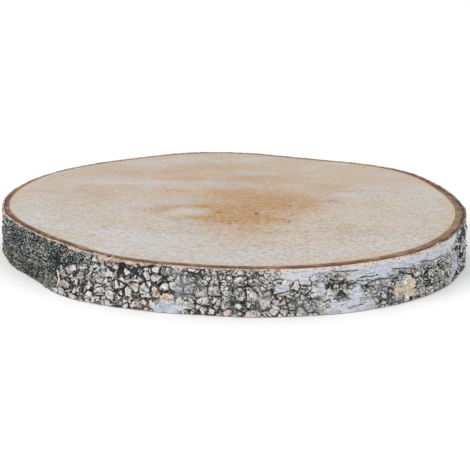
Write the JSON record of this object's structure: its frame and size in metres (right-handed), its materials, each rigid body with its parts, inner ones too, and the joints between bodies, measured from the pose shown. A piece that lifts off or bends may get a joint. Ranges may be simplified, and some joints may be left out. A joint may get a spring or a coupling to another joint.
{
  "type": "birch wood slice",
  "caption": "Flat disc sawn across a birch trunk, with its bark on, to stand or lay things on.",
  "frame": {"origin": "middle of the slice's footprint, on the sawn face that it rests on", "axes": "+Z along the trunk, up out of the top sawn face; -Y towards the side that the picture shows in front, +X to its right"},
  "size_m": [0.292, 0.2888, 0.03],
  "materials": {
    "sapwood": "matte",
    "inner_bark": "matte",
    "outer_bark": "matte"
  },
  "bodies": {
    "root": {"birch_slice": "sapwood"}
  },
  "joints": []
}
